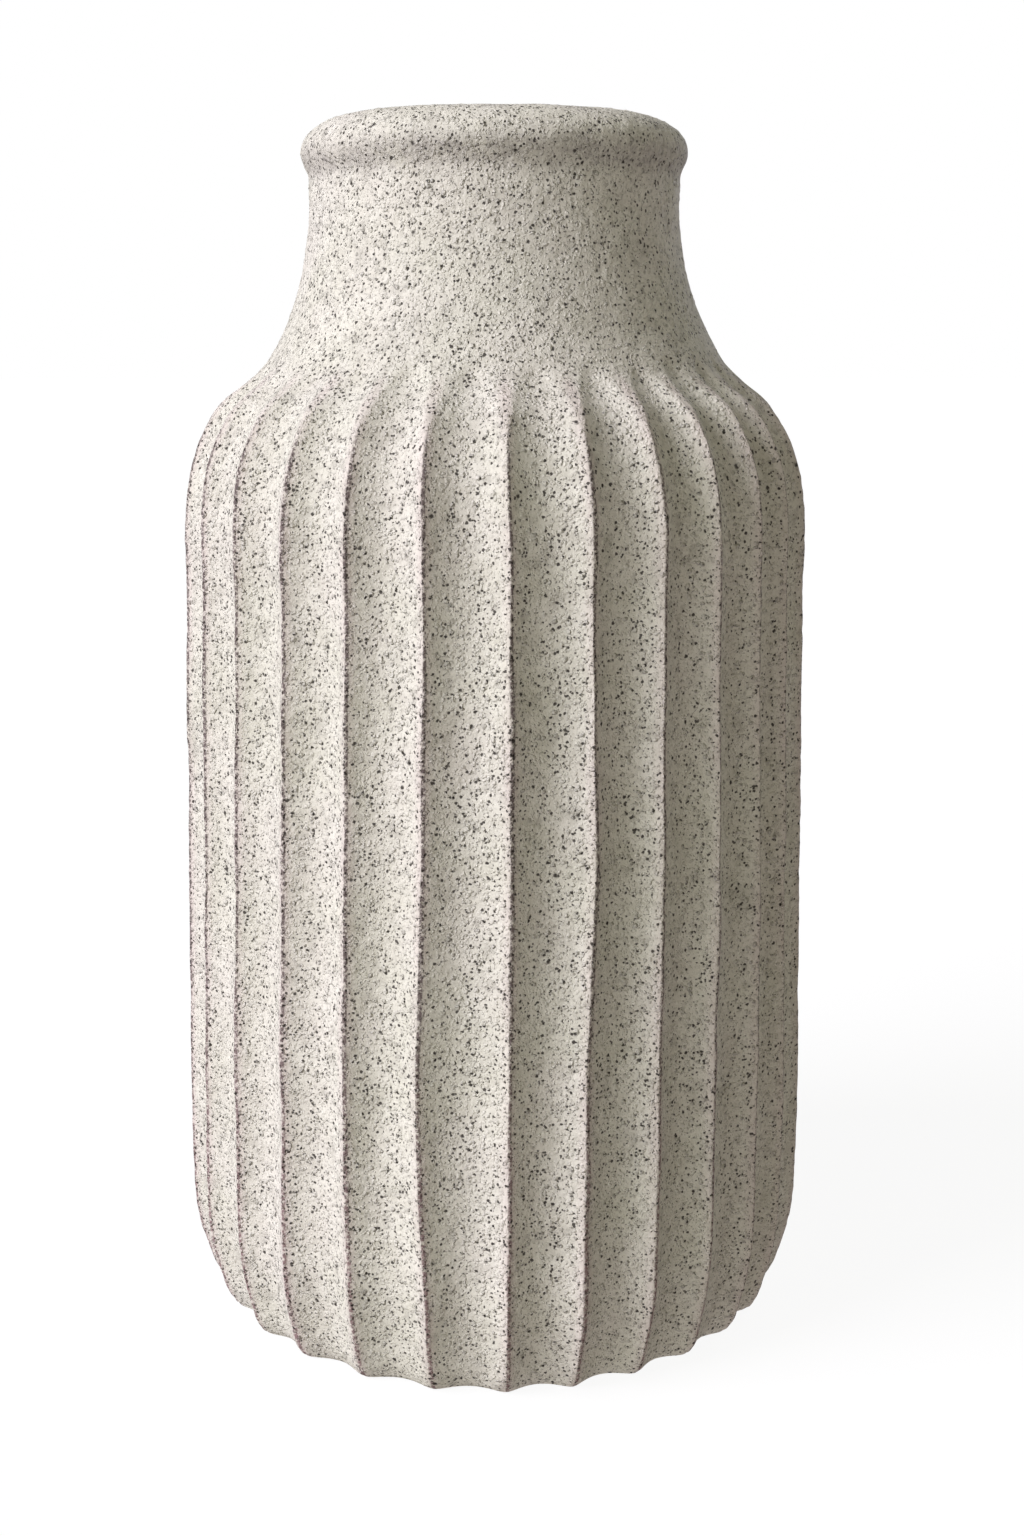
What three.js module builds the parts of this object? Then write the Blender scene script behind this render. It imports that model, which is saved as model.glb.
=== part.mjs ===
// Tall fluted stoneware vase, built as the clay sections a potter stacks and lutes together:
// floor slab, three body rings, shoulder, neck collar and rolled rim.
// Millimetres, +Z up, the vase stands on z = 0 with its axis on the Z axis and its front towards -Y.

import * as THREE from 'three';

// ---- driving dimensions -------------------------------------------------------------------

// Outer profile along the flute crests, from the base edge to the narrowest part of the neck:
// [radius, height].
const CREST_PROFILE = [
  [94.2, 0],
  [97.6, 6],
  [99.8, 13],
  [102.0, 21],
  [103.5, 31],
  [103.9, 46],
  [103.5, 90],
  [102.1, 150],
  [100.6, 205],
  [99.9, 238],
  [100.0, 252],
  [99.4, 264],
  [97.4, 275],
  [93.4, 285],
  [87.6, 293.5],
  [79.4, 300],
  [73.8, 305],
  [69.8, 311],
  [66.2, 318],
  [62.5, 328],
  [60.0, 338],
  [58.6, 348],
  [58.3, 354],
];

// Wall thickness measured from the crests, and the depth of the flutes cut into it.
const WALL = 11;
const FLUTE_DEPTH = 4.8;

// The flutes are cut by hand, so their widths differ: degrees from ridge to ridge, counted from the
// first ridge.
const FIRST_RIDGE_DEG = 2.6;
const FLUTE_WIDTHS_DEG = [
  13.8, 12.05, 12.3, 11.45, 11.1, 12.6, 13.3,
  12.9, 13.4, 12.5, 12.8, 13.3, 12.7, 13.1,
  12.6, 13.2, 13.4, 12.7, 12.6, 13.3, 12.7,
  13.1, 12.7, 12.7, 13.1, 12.7, 13.5, 14.4,
];

// The flutes are full depth up to the first height and have run out at the second. The higher the
// power, the more abruptly the gouge lifts out of the clay at the end of its cut.
const FLUTES_FULL_BELOW = 284;
const FLUTES_END = 307;
const GOUGE_LIFT_POWER = 2.3;

// Heights of the luted joints, the gap left in each, and the tongue that locates the next section.
// Below the second height the inside of the lowest ring is upright, to fit round the raised disc.
const SLAB_TOP = 12;
const WALL_CURVES_INSIDE_FROM = 20;
const LOWER_TOP = 92;
const MIDDLE_TOP = 172;
const UPPER_TOP = 252;
const SHOULDER_TOP = 316;
const NECK_TOP = 353;
const GAP = 0.3;
const TONGUE_HEIGHT = 4;
const TONGUE_WIDTH = 4;

// Underside: width of the flat foot ring and the recess inside it.
const FOOT_RING_WIDTH = 14;
const RECESS_DEPTH = 3;
const RECESS_BEVEL = 3;

// Rolled rim: the overall height, where the roll leaves the neck, its widest radius and the height of that,
// the radius of its crown and the radius of the mouth inside it.
const HEIGHT = 380;
const ROLL_STARTS_AT = 362;
const RIM_RADIUS = 60.6;
const RIM_WIDEST_AT = 370;
const RIM_CROWN_RADIUS = 46.6;
const MOUTH_RADIUS = 43;

// Facets: points across each flute, and points around a plain ring.
const POINTS_PER_FLUTE = 5;
const RING_POINTS = 56;

// ---- profile of the wall ------------------------------------------------------------------

const outerCurve = new THREE.SplineCurve(CREST_PROFILE.map(([r, z]) => new THREE.Vector2(r, z)));
const outerPoints = outerCurve.getPoints(600);

// The inside follows the outside one wall thickness in, measured square to the wall.
const innerPoints = outerPoints.map((point, i) => {
  const before = outerPoints[Math.max(i - 1, 0)];
  const after = outerPoints[Math.min(i + 1, outerPoints.length - 1)];
  const along = after.clone().sub(before).normalize();
  return new THREE.Vector2(point.x - WALL * along.y, point.y + WALL * along.x);
});

function radiusAt(points, z) {
  if (z <= points[0].y) {
    return points[0].x;
  }
  for (let i = 1; i < points.length; i += 1) {
    if (z <= points[i].y) {
      const share = (z - points[i - 1].y) / (points[i].y - points[i - 1].y);
      return THREE.MathUtils.lerp(points[i - 1].x, points[i].x, share);
    }
  }
  return points[points.length - 1].x;
}

const crestRadius = (z) => radiusAt(outerPoints, z);
const insideRadius = (z) => radiusAt(innerPoints, z);

// Depth of the flutes at height z, in mid flute.
function fluteDepth(z) {
  const lifted = THREE.MathUtils.clamp((z - FLUTES_FULL_BELOW) / (FLUTES_END - FLUTES_FULL_BELOW), 0, 1);
  return FLUTE_DEPTH * (1 - lifted ** GOUGE_LIFT_POWER);
}

// ---- rings of points ----------------------------------------------------------------------

// Directions around the fluted wall, each with how deep the flute is there, from 0 on a ridge to 1 in
// mid flute.
const flutedDirections = [];
let ridge = FIRST_RIDGE_DEG;
for (const width of FLUTE_WIDTHS_DEG) {
  for (let i = 0; i < POINTS_PER_FLUTE; i += 1) {
    const share = i / POINTS_PER_FLUTE;
    const angle = THREE.MathUtils.degToRad(ridge + width * share - 90);
    flutedDirections.push({ angle, hollow: 4 * share * (1 - share) });
  }
  ridge += width;
}

// A ring of the fluted outer wall at height z.
function flutedRing(z) {
  const crest = crestRadius(z);
  const depth = fluteDepth(z);
  return flutedDirections.map(({ angle, hollow }) => {
    const r = crest - depth * hollow;
    return { angle, x: r * Math.cos(angle), y: r * Math.sin(angle), z };
  });
}

// A plain circle of radius r at height z.
function plainRing(r, z) {
  const start = flutedDirections[0].angle;
  return Array.from({ length: RING_POINTS }, (_, i) => {
    const angle = start + (2 * Math.PI * i) / RING_POINTS;
    return { angle, x: r * Math.cos(angle), y: r * Math.sin(angle), z };
  });
}

// A single point on the axis, where a disc closes.
const axisPoint = (z) => [{ angle: 0, x: 0, y: 0, z }];

// ---- solids from rings --------------------------------------------------------------------

// Joins a stack of rings into one skin. Each ring runs anticlockwise seen from above, and the stack
// runs up the outside, inwards over the top, down the inside and outwards underneath, so every face
// looks out of the clay.
function skin(rings, closesOnItself) {
  const positions = [];
  const indices = [];
  const starts = rings.map((ring) => {
    const start = positions.length / 3;
    for (const { x, y, z } of ring) {
      positions.push(x, y, z);
    }
    return start;
  });
  const joins = closesOnItself ? rings.length : rings.length - 1;
  for (let k = 0; k < joins; k += 1) {
    const next = (k + 1) % rings.length;
    joinRings(rings[k], starts[k], rings[next], starts[next], indices);
  }
  const geometry = new THREE.BufferGeometry();
  geometry.setAttribute('position', new THREE.Float32BufferAttribute(positions, 3));
  geometry.setIndex(indices);
  geometry.computeVertexNormals();
  return geometry;
}

// Fills between two rings, always stepping along the one whose next point comes first round the axis.
function joinRings(a, startA, b, startB, indices) {
  const turn = 2 * Math.PI;
  const stepsA = a.length === 1 ? 0 : a.length;
  const stepsB = b.length === 1 ? 0 : b.length;
  const angleOf = (ring, i) => ring[i % ring.length].angle + turn * Math.floor(i / ring.length);
  let i = 0;
  let j = 0;
  while (i < stepsA || j < stepsB) {
    const advanceA = j >= stepsB || (i < stepsA && angleOf(a, i + 1) <= angleOf(b, j + 1) + 1e-9);
    const pa = startA + (i % a.length);
    const pb = startB + (j % b.length);
    if (advanceA) {
      indices.push(pa, startA + ((i + 1) % a.length), pb);
      i += 1;
    } else {
      indices.push(pa, startB + ((j + 1) % b.length), pb);
      j += 1;
    }
  }
}

// Rings of the outer wall at the given heights: fluted while the flutes last, plain above them.
function outsideRings(heights) {
  return heights.map((z) => (z < FLUTES_END ? flutedRing(z) : plainRing(crestRadius(z), z)));
}

// Rings of the inner wall at the given heights, from the top one down.
function insideRings(heights) {
  return [...heights].reverse().map((z) => plainRing(insideRadius(z), z));
}

// Top of a section: the ledge that carries the next section, then the tongue that stands up inside it.
function tongueRings(joint) {
  const ledge = joint - GAP / 2;
  const side = insideRadius(joint) + TONGUE_WIDTH;
  return [plainRing(side, ledge), plainRing(side, ledge + TONGUE_HEIGHT)];
}

// Bottom of a section: the rebate that fits over the tongue, from the inside outwards.
function rebateRings(joint) {
  const ledge = joint + GAP / 2;
  const side = insideRadius(joint) + TONGUE_WIDTH + GAP;
  return [plainRing(side, ledge + TONGUE_HEIGHT), plainRing(side, ledge)];
}

// A ring of wall between two joints, with a tongue on top and a rebate underneath.
function wallSection(bottom, top, heights) {
  const outside = [bottom + GAP / 2, ...heights, top - GAP / 2];
  const insideHeights = heights.filter((z) => z > bottom + TONGUE_HEIGHT + 1 && z < top);
  const inside = [bottom + GAP / 2 + TONGUE_HEIGHT, ...insideHeights, top - GAP / 2 + TONGUE_HEIGHT];
  return skin([
    ...outsideRings(outside),
    ...tongueRings(top),
    ...insideRings(inside),
    ...rebateRings(bottom),
  ], true);
}

// ---- the sections -------------------------------------------------------------------------

// Floor disc: fluted edge, flat foot ring round a shallow recess, and a raised disc inside the wall.
function baseSlab() {
  const ledge = SLAB_TOP - GAP / 2;
  const discRadius = insideRadius(WALL_CURVES_INSIDE_FROM) - GAP;
  const footInside = CREST_PROFILE[0][0] - FLUTE_DEPTH - FOOT_RING_WIDTH;
  return skin([
    axisPoint(RECESS_DEPTH),
    plainRing(footInside - RECESS_BEVEL, RECESS_DEPTH),
    plainRing(footInside, 0),
    flutedRing(0),
    flutedRing(3),
    flutedRing(7),
    flutedRing(ledge),
    plainRing(discRadius, ledge),
    plainRing(discRadius, ledge + TONGUE_HEIGHT),
    axisPoint(ledge + TONGUE_HEIGHT),
  ], false);
}

// First body ring: stands on the slab's margin, around the raised disc.
function lowerWall() {
  const bottom = SLAB_TOP + GAP / 2;
  const inside = insideRadius(WALL_CURVES_INSIDE_FROM);
  const insideTop = LOWER_TOP - GAP / 2 + TONGUE_HEIGHT;
  return skin([
    ...outsideRings([bottom, 18, 27, 42, LOWER_TOP - GAP / 2]),
    ...tongueRings(LOWER_TOP),
    ...insideRings([WALL_CURVES_INSIDE_FROM, 30, 50, insideTop]),
    plainRing(inside, bottom),
  ], true);
}

// Rolled rim: the last of the neck, a short swell out of it, then a full round roll over into the mouth.
function rimRoll() {
  const bottom = NECK_TOP + GAP / 2;
  const neck = crestRadius(NECK_TOP);
  const rings = [plainRing(neck, bottom)];
  const swellSteps = 5;
  for (let i = 0; i <= swellSteps; i += 1) {
    const share = i / swellSteps;
    const r = THREE.MathUtils.lerp(neck, RIM_RADIUS, THREE.MathUtils.smoothstep(share, 0, 1));
    rings.push(plainRing(r, THREE.MathUtils.lerp(ROLL_STARTS_AT, RIM_WIDEST_AT, share)));
  }
  const rollSteps = 6;
  for (let i = 1; i <= rollSteps; i += 1) {
    const turn = (i / rollSteps) * Math.PI / 2;
    const r = RIM_CROWN_RADIUS + (RIM_RADIUS - RIM_CROWN_RADIUS) * Math.cos(turn);
    rings.push(plainRing(r, RIM_WIDEST_AT + (HEIGHT - RIM_WIDEST_AT) * Math.sin(turn)));
  }
  for (let i = 1; i <= rollSteps; i += 1) {
    const turn = (i / rollSteps) * Math.PI / 2;
    const r = RIM_CROWN_RADIUS - (RIM_CROWN_RADIUS - MOUTH_RADIUS) * Math.sin(turn);
    rings.push(plainRing(r, RIM_WIDEST_AT + (HEIGHT - RIM_WIDEST_AT) * Math.cos(turn)));
  }
  const insideBottom = bottom + TONGUE_HEIGHT;
  rings.push(plainRing(insideRadius(NECK_TOP), insideBottom));
  rings.push(...rebateRings(NECK_TOP));
  return skin(rings, true);
}

const sections = [
  ['base_slab', baseSlab()],
  ['lower_wall', lowerWall()],
  ['middle_wall', wallSection(LOWER_TOP, MIDDLE_TOP, [132])],
  ['upper_wall', wallSection(MIDDLE_TOP, UPPER_TOP, [212, 238])],
  ['shoulder', wallSection(UPPER_TOP, SHOULDER_TOP, [260, 268, 276, 283, 289, 294, 299, 303, 307, 311])],
  ['neck_collar', wallSection(SHOULDER_TOP, NECK_TOP, [322, 329, 337, 345])],
  ['rim_roll', rimRoll()],
];

// ---- materials and assembly ---------------------------------------------------------------

const SLIPPED_STONEWARE = 0xd9d3c8;
const BARE_STONEWARE = 0xc9bba6;

const vase = new THREE.Group();
vase.name = 'stoneware_vase';

for (const [name, geometry] of sections) {
  const color = name === 'base_slab' ? BARE_STONEWARE : SLIPPED_STONEWARE;
  const material = new THREE.MeshStandardMaterial({ color, roughness: 0.92, metalness: 0 });
  const mesh = new THREE.Mesh(geometry, material);
  mesh.name = name;
  vase.add(mesh);
}

export default vase;
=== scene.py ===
import math

import bpy
import numpy as np
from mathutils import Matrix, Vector


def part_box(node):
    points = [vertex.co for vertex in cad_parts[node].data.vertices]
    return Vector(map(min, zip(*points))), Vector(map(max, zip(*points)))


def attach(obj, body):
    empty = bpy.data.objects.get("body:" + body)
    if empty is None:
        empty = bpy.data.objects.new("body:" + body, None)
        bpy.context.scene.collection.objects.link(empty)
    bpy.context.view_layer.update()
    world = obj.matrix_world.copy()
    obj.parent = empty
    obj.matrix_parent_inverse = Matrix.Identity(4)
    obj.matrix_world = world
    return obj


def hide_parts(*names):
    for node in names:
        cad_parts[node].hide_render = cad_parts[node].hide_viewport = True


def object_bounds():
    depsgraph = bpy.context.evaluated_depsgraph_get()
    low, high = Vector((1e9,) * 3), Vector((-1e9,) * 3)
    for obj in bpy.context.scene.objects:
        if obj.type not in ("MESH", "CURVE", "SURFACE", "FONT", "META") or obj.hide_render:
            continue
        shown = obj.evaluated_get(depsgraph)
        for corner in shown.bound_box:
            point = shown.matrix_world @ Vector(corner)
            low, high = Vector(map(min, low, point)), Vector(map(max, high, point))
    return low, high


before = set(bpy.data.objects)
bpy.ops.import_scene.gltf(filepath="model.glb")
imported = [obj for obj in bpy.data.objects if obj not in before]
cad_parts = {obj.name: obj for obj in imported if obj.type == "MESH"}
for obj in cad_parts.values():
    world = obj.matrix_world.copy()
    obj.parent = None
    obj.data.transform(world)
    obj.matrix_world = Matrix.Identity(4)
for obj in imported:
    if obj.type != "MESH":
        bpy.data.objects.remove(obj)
cad_low, cad_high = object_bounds()
MM = 0.001

# ---------------------------------------------------------------- form, in millimetres of the 380 mm vase

HEIGHT = 380.0
BODY_WIDTH = 207.8

# Outer profile along the ridges, from the base edge to the narrowest part of the neck: (radius, height).
CREST_PROFILE = [
    (94.2, 0), (97.6, 6), (99.8, 13), (102, 21), (103.5, 31), (103.9, 46), (103.5, 90), (102.1, 150),
    (100.6, 205), (99.9, 238), (100, 252), (99.4, 264), (97.4, 275), (93.4, 285), (87.6, 293.5),
    (79.4, 300), (73.8, 305), (69.8, 311), (66.2, 318), (62.5, 328), (60, 338), (58.6, 348), (58.3, 354),
]

# The flutes are cut by hand, so their widths differ: degrees from ridge to ridge, from the first ridge on.
FIRST_RIDGE_DEG = 2.6
FLUTE_WIDTHS_DEG = [
    13.8, 12.05, 12.3, 11.45, 11.1, 12.6, 13.3, 12.9, 13.4, 12.5, 12.8, 13.3, 12.7, 13.1,
    12.6, 13.2, 13.4, 12.7, 12.6, 13.3, 12.7, 13.1, 12.7, 12.7, 13.1, 12.7, 13.5, 14.4,
]
FLUTES = len(FLUTE_WIDTHS_DEG)

# The gouge strayed sideways as it cut: millimetres to the right of upright, at each of SWAY_HEIGHTS, for
# the ridges that face the front. The other ridges get strays of their own, of up to OTHER_SWAY.
SWAY_HEIGHTS = [20, 95, 170, 245, 285]
OTHER_SWAY = 1.4
RIDGE_SWAY = {
    22: [1.3, 1.5, 0.5, 2.0, 1.9], 23: [0.3, 1.9, 2.1, 2.3, 1.0], 24: [0.6, 0.6, 1.7, 2.1, 1.4],
    25: [-1.2, -0.5, 0.2, 0.6, 1.4], 26: [0.6, -0.3, 0.3, 0.8, 0.9], 27: [0.8, -1.6, 0.1, 0.7, -0.1],
    0: [-0.7, -0.4, 0.1, 0.0, -0.8], 1: [-2.7, -2.3, 0.3, -0.6, -1.1], 2: [-1.5, -0.6, 0.7, 0.8, 0.1],
    3: [-2.1, -1.6, 0.6, -0.4, -0.5], 4: [-1.4, -0.4, 0.7, -0.8, 0.0], 5: [-2.5, -0.5, -0.7, -1.2, -0.8],
}
# On top of that each ridge quivers: (reach, wavelength) of two waves. Strays turn into angles at this radius.
QUIVER = [(0.10, 47.0), (0.05, 23.0)]
SWAY_RADIUS = 100.0

# The depth of the flutes comes and goes along them, as (part of the depth, wavelength) of two waves, and is
# less near the foot.
FLUTE_DEPTH = 4.8
DEPTH_WAVES = [(0.07, 170.0), (0.04, 61.0)]
FOOT_SHALLOWING, FOOT_SHALLOW_BELOW = 0.28, 24.0

# The gouge starts to lift out of the clay at the first height and is out at the second, give or take.
FLUTES_FULL_BELOW, FLUTES_END = 284.0, 307.0
END_STRAY = 1.5
GOUGE_LIFT_POWER, LIFT_LIMIT = 2.3, 1.2
LAST_HOLLOW_FADES = (FLUTES_END - 1, FLUTES_END + 6)
PLAIN_ABOVE = FLUTES_END + 8

# How blunt the ridges are on the body, on the shoulder, in addition at the foot, and round the arch that
# ends a flute.
CREST_ROUND, SHOULDER_CREST_ROUND, FOOT_CREST_ROUND, ARCH_ROUND = 0.3, 0.8, 1.3, 0.8
CREST_SHARP_BELOW = 262.0
FOOT_BLUNT_BELOW = 12.0
ARCH_FULLY_BLUNT_LIFT = 1.5

# The slip is worn in a thin line just beside each ridge, to its right, and that line also holds painted shade
# of the ridge; a wider blush round the ridge is worn slip. Each has a strength and the two heights between
# which it fades.
CREST_LINE_OFFSET, CREST_LINE_WIDTH, BLUSH_WIDTH = 0.46, 0.62, 3.6
LINE_STRENGTH, BLUSH_STRENGTH = 0.8, 0.2
LINE_FADES = (CREST_SHARP_BELOW + 10, FLUTES_END - 4)
BLUSH_FADES = (FLUTES_END - 8, FLUTES_END)

# The wall, the rolled rim and the mouth.
WALL = 11.0
RIM_RADIUS, RIM_WIDEST_AT, RIM_CROWN_RADIUS, MOUTH_RADIUS = 60.6, 370.0, 46.6, 43.0
THROAT_END = 362.0

# The luted joints, and the raised disc of the floor, which is as wide as the wall's inside a little higher.
GAP = 0.3
TONGUE_HEIGHT, TONGUE_WIDTH, TONGUE_TAPER = 4.0, 4.0, 0.3
DISC_EDGE_ABOVE_JOINT = 8.0

# The foot: a rounded edge that tucks in, a flat ring, and a recess with a rounded side.
EDGE_ROUND, EDGE_TUCK = 1.6, 0.6
FOOT_RING_WIDTH = 14.0
RECESS_DEPTH, RECESS_SIDE = 3.0, 3.0
RECESS_STARTS_AT = CREST_PROFILE[0][0] - FLUTE_DEPTH - FOOT_RING_WIDTH

# The thrower's fingers left slow ridges inside, as (reach, wavelength) of two waves, which fade at a joint.
THROWING = [(0.35, 9.5), (0.2, 23.0)]
THROWING_FADE = 5.0

# The mesh: columns in each flute, crowded towards the ridges, and rows at even steps along the profile.
COLUMNS_PER_FLUTE = 28
COLUMN_CROWDING = 0.055
ROW_STEP = 0.9
INNER_ROW_STEP = 4.0
EDGE_ROWS, NECK_ROWS, SWELL_ROWS, CROWN_ROWS, MOUTH_ROWS = 6, 12, 16, 20, 18
THROAT_STEPS = 4
FLOOR_RINGS = (80.0, 66.0, 50.0, 34.0, 18.0, 6.0)
RECESS_RINGS = (66.0, 58.0, 42.0, 24.0, 6.0)
FOOT_RING_STEPS = (0.34, 0.67, 1.0)
RECESS_SIDE_STEPS = (0.25, 0.5, 0.75, 1.0)

# What covers the clay at each point of the mesh: the outer slip, the plain liner or nothing.
SLIPPED, LINED, BARE = 0.0, 1.0, 2.0

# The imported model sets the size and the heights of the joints.
SCALE_Z = (cad_high.z - cad_low.z) / (HEIGHT * MM)
SCALE_R = (cad_high.x - cad_low.x) / (BODY_WIDTH * MM)
SECTIONS = ["base_slab", "lower_wall", "middle_wall", "upper_wall", "shoulder", "neck_collar", "rim_roll"]


def joint_height(section):
    """Height of the joint under a section: the section's lower edge, less half the gap."""
    return round(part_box(section)[0].z / (SCALE_Z * MM), 2) - GAP / 2


JOINTS = [joint_height(section) for section in SECTIONS[1:]]

# ---------------------------------------------------------------- noise and waves

RNG = np.random.RandomState(7)
LATTICE = RNG.rand(48, 48, 48)
FEATURES = RNG.rand(32, 32, 32, 5)

# Unevenness of the clay in millimetres. Noise: (height, cell, shift). Grains: (height, cell, radius, share of
# the cells, shift).
LUMPS = [(0.42, 34.0, 0.0), (0.20, 15.0, 5.3)]
PITS = [(0.08, 5.5, 9.1), (0.09, 2.7, 3.7)]
CRUMBS = [(0.12, 2.4, 21.0)]
GROG = [(0.20, 3.1, 1.25, 0.62, 0.0), (0.18, 5.2, 1.5, 0.45, 11.3)]
HOLES = [(0.20, 4.3, 1.15, 0.5, 4.9)]

# The ridges crumble over this width, and lose this part of the grain. The foot is trimmed flat.
CRUMBLE_WIDTH, CRUMBLE_LOSS = 1.6, 0.5
TRIMMED_BELOW = 2.5


def value_noise(p, cell, shift):
    """Smooth noise from -1 to 1 at points p (n, 3) in millimetres, with features about one cell wide."""
    q = p / cell + shift
    i = np.floor(q).astype(int)
    f = q - i
    f = f * f * f * (f * (f * 6 - 15) + 10)
    out = np.zeros(len(p))
    n = LATTICE.shape[0]
    for dx in (0, 1):
        wx = f[:, 0] if dx else 1 - f[:, 0]
        for dy in (0, 1):
            wy = f[:, 1] if dy else 1 - f[:, 1]
            for dz in (0, 1):
                wz = f[:, 2] if dz else 1 - f[:, 2]
                out += wx * wy * wz * LATTICE[(i[:, 0] + dx) % n, (i[:, 1] + dy) % n, (i[:, 2] + dz) % n]
    return out * 2 - 1


def grains(p, cell, radius, filled, shift):
    """Round bumps from 0 to 1 at random places: at most one to a cell, in that share of the cells."""
    q = p / cell + shift
    base = np.floor(q).astype(int)
    out = np.zeros(len(p))
    n = FEATURES.shape[0]
    for dx in (-1, 0, 1):
        for dy in (-1, 0, 1):
            for dz in (-1, 0, 1):
                c = base + (dx, dy, dz)
                f = FEATURES[c[:, 0] % n, c[:, 1] % n, c[:, 2] % n]
                d = np.linalg.norm(c + f[:, :3] - q, axis=1) * cell
                r = radius * (0.6 + 0.8 * f[:, 3])
                bump = np.clip(1 - (d / r) ** 2, 0, 1) ** 2
                out = np.maximum(out, bump * (f[:, 4] < filled))
    return out


def noise_layers(p, layers):
    return sum(height * value_noise(p, *noise) for height, *noise in layers)


def grain_layers(p, layers):
    return sum(height * grains(p, *grain) for height, *grain in layers)


def waves(z, layers, phases=(0.0, 0.0)):
    """Sum of two sine waves along the height; the layers are (reach, wavelength)."""
    pairs = zip(layers, phases)
    return sum(reach * np.sin(2 * np.pi * z / length + phase) for (reach, length), phase in pairs)


def smoothstep(x, a, b):
    t = np.clip((x - a) / (b - a), 0, 1)
    return t * t * (3 - 2 * t)


def fade_out(x, a, b):
    return 1 - smoothstep(x, a, b)


# ---------------------------------------------------------------- profile of the wall

def spline(points, count):
    """Catmull-Rom curve through the points, as (count, 2)."""
    p = np.array([points[0]] + list(points) + [points[-1]], float)
    t = np.linspace(0, len(points) - 1, count)
    i = np.clip(t.astype(int), 0, len(points) - 2)
    u = (t - i)[:, None]
    a, b, c, d = p[i], p[i + 1], p[i + 2], p[i + 3]
    v0, v1 = (c - a) / 2, (d - b) / 2
    return (2 * b - 2 * c + v0 + v1) * u ** 3 + (-3 * b + 3 * c - 2 * v0 - v1) * u ** 2 + v0 * u + b


OUTER = spline(CREST_PROFILE, 2401)
along = np.gradient(OUTER, axis=0)
along /= np.linalg.norm(along, axis=1)[:, None]
INNER = OUTER + WALL * np.stack([-along[:, 1], along[:, 0]], 1)


def crest_radius(z):
    return float(np.interp(z, OUTER[:, 1], OUTER[:, 0]))


def inside_radius(z):
    return float(np.interp(z, INNER[:, 1], INNER[:, 0]))


def even_heights(low, high, curve, step):
    """Heights from low to high, spaced evenly along the curve."""
    z = np.linspace(low, high, 400)
    r = np.interp(z, curve[:, 1], curve[:, 0])
    s = np.concatenate([[0], np.cumsum(np.hypot(np.diff(z), np.diff(r)))])
    count = max(2, int(round(s[-1] / step)) + 1)
    return np.interp(np.linspace(0, s[-1], count), s, z)


# ---------------------------------------------------------------- the fluted skin

# Every column of the skin: its flute, how far across the flute it is, from 0 to 1, and its angle.
widths = np.array(FLUTE_WIDTHS_DEG)
edges = FIRST_RIDGE_DEG + np.concatenate([[0], np.cumsum(widths)])
flute = np.repeat(np.arange(FLUTES), COLUMNS_PER_FLUTE)
even_share = np.tile(np.arange(COLUMNS_PER_FLUTE) / COLUMNS_PER_FLUTE, FLUTES)
share = even_share - COLUMN_CROWDING * np.sin(2 * np.pi * even_share)
column_angle = np.radians(edges[flute] + share * widths[flute])
flute_angle = np.radians(widths[flute])
COLUMNS = len(share)
RADIAL = np.stack([np.sin(column_angle), -np.cos(column_angle), np.zeros(COLUMNS)], 1)
UP = np.tile([0.0, 0.0, 1.0], (COLUMNS, 1))

# How each ridge strays, and the phases of its quiver and of its flute's depth.
other_sway = RNG.uniform(-OTHER_SWAY, OTHER_SWAY, (FLUTES, len(SWAY_HEIGHTS)))
sway = np.array([RIDGE_SWAY.get(ridge, other_sway[ridge]) for ridge in range(FLUTES)])
quiver_phase = RNG.rand(FLUTES, 2).T * 2 * np.pi
depth_phase = RNG.rand(FLUTES, 2).T * 2 * np.pi


def ridge_wander(z):
    """Sideways shift of every ridge at height z, in radians."""
    i = int(np.clip(np.searchsorted(SWAY_HEIGHTS, z) - 1, 0, len(SWAY_HEIGHTS) - 2))
    t = smoothstep(z, SWAY_HEIGHTS[i], SWAY_HEIGHTS[i + 1])
    slow = sway[:, i] * (1 - t) + sway[:, i + 1] * t
    return (slow + waves(z, QUIVER, quiver_phase)) / SWAY_RADIUS


def cut_across(depth, z):
    """How far the flutes lie below their ridges at height z: a shallow curve, with blunt ridges."""
    cut = depth * 4 * share * (1 - share)
    blunt = CREST_ROUND + (SHOULDER_CREST_ROUND - CREST_ROUND) * smoothstep(z, CREST_SHARP_BELOW, FLUTES_END)
    blunt += FOOT_CREST_ROUND * fade_out(z, 0.0, FOOT_BLUNT_BELOW)
    return (np.hypot(cut, blunt) - blunt) * depth / (np.hypot(depth, blunt) - blunt)


def lifted_out(cut, depth, z):
    """The cut as the gouge lifts out of the shoulder: each hollow narrows and ends in a blunt arch."""
    end = FLUTES_END + END_STRAY * np.sin(quiver_phase[0][flute])
    done = np.clip((z - FLUTES_FULL_BELOW) / (end - FLUTES_FULL_BELOW), 0, LIFT_LIMIT)
    lift = depth * done ** GOUGE_LIFT_POWER
    blunt = ARCH_ROUND * smoothstep(lift, 0.0, ARCH_FULLY_BLUNT_LIFT)
    hollow = (cut - lift + np.hypot(cut - lift, blunt) + lift - np.hypot(lift, blunt)) / 2
    return hollow * fade_out(z, *LAST_HOLLOW_FADES)


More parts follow.
